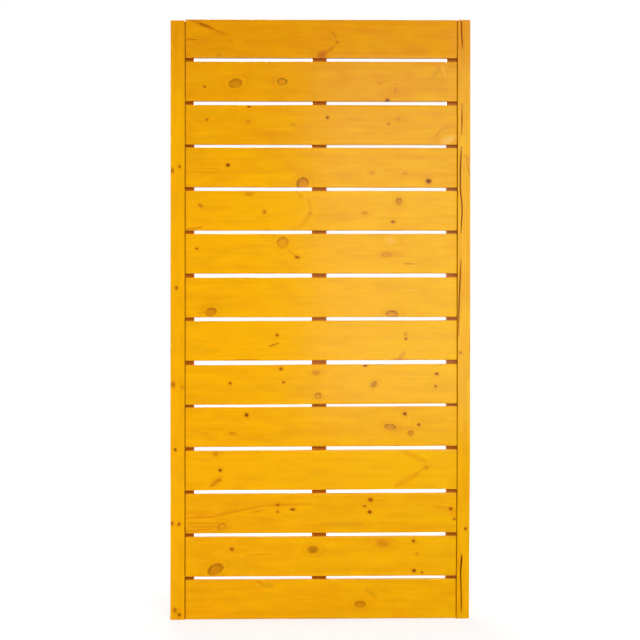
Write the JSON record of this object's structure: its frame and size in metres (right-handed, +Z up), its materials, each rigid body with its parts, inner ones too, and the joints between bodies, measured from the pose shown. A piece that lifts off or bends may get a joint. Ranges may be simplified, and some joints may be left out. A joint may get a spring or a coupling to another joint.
{
  "type": "privacy fence panel",
  "caption": "Tall slatted timber privacy screen: horizontal boards with narrow gaps, held in two rebated side stiles and backed by a vertical batten.",
  "frame": {"origin": "bottom of the panel, in the middle of its width and of its depth", "axes": "+X to the right as seen from the front, +Y from the front to the back, +Z up"},
  "size_m": [0.9, 0.045, 1.8],
  "materials": {
    "board_timber": "planed softwood under a translucent golden pine stain, semi-gloss, with knots",
    "stile_timber": "planed softwood under the same golden stain, semi-gloss, with drying checks in the right stile",
    "batten_timber": "planed softwood under the same golden stain",
    "staple_wire": "galvanised flat wire"
  },
  "bodies": {
    "root": {"board_01": "board_timber", "board_02": "board_timber", "board_03": "board_timber", "board_04": "board_timber", "board_05": "board_timber", "board_06": "board_timber", "board_07": "board_timber", "board_08": "board_timber", "board_09": "board_timber", "board_10": "board_timber", "board_11": "board_timber", "board_12": "board_timber", "board_13": "board_timber", "board_14": "board_timber", "left_stile": "stile_timber", "right_stile": "stile_timber", "centre_batten": "batten_timber", "left_stile_staples": "staple_wire", "centre_batten_staples": "staple_wire", "right_stile_staples": "staple_wire"}
  },
  "joints": []
}
